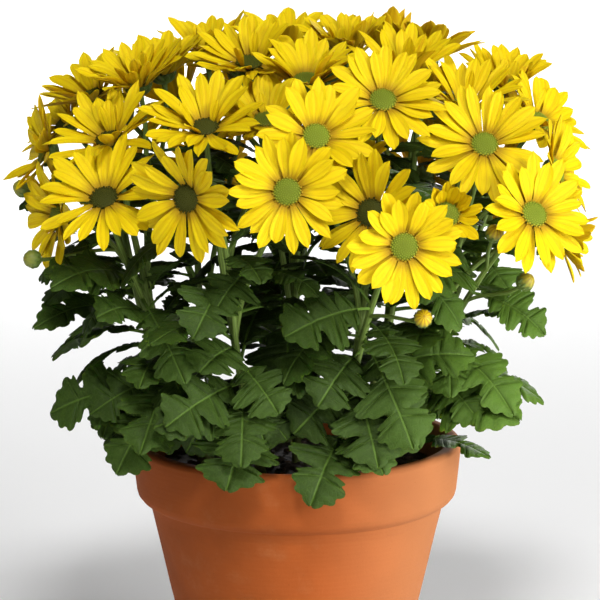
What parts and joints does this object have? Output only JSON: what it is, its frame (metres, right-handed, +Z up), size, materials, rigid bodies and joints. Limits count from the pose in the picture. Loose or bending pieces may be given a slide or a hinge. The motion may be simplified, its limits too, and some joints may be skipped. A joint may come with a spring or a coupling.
{
  "type": "pot chrysanthemum",
  "caption": "Pot chrysanthemum: leafy stems with open yellow daisy blooms and buds, rooted in soil in a plain round terracotta pot with a collar and a drain hole.",
  "frame": {"origin": "on the ground under the middle of the plant's outline, which is also the middle of the pot's foot", "axes": "+Z up along the pot's axis; the side with the fullest blooms faces -Y; +X is to its right as seen from that side"},
  "size_m": [0.2868, 0.2534, 0.3522],
  "materials": {
    "terracotta": "matte",
    "potting_soil": "matte",
    "foliage": "satin",
    "rays": "satin"
  },
  "bodies": {
    "root": {"pot": "terracotta", "soil": "potting_soil", "leafy_stem_1": "foliage", "leafy_stem_2": "foliage", "leafy_stem_3": "foliage", "leafy_stem_4": "foliage", "leafy_stem_5": "foliage", "leafy_stem_6": "foliage", "leafy_stem_7": "foliage", "leafy_stem_8": "foliage", "leafy_stem_9": "foliage", "leafy_stem_10": "foliage", "bloom_1_1": "rays", "bloom_1_2": "rays", "bloom_1_3": "rays", "bloom_2_1": "rays", "bloom_2_2": "rays", "bloom_2_3": "rays", "bloom_2_4": "rays", "bloom_3_1": "rays", "bloom_3_2": "rays", "bloom_3_3": "rays", "bloom_3_4": "rays", "bloom_3_5": "rays", "bloom_3_6": "rays", "bloom_4_1": "rays", "bloom_4_2": "rays", "bloom_4_3": "rays", "bloom_4_4": "rays", "bloom_4_5": "rays", "bloom_5_1": "rays", "bloom_5_2": "rays", "bloom_5_3": "rays", "bloom_6_1": "rays", "bloom_6_2": "rays", "bloom_6_3": "rays", "bloom_6_4": "rays", "bloom_7_1": "rays", "bloom_7_2": "rays", "bloom_7_3": "rays", "bloom_7_4": "rays", "bloom_7_5": "rays", "bloom_8_1": "rays", "bloom_8_2": "rays", "bloom_8_3": "rays", "bloom_8_4": "rays", "bloom_9_1": "rays", "bloom_9_2": "rays", "bloom_9_3": "rays", "bloom_9_4": "rays", "bloom_9_5": "rays", "bloom_10_1": "rays", "bloom_10_2": "rays", "bloom_10_3": "rays", "bloom_10_4": "rays", "bloom_10_5": "rays", "bloom_10_6": "rays"}
  },
  "joints": []
}
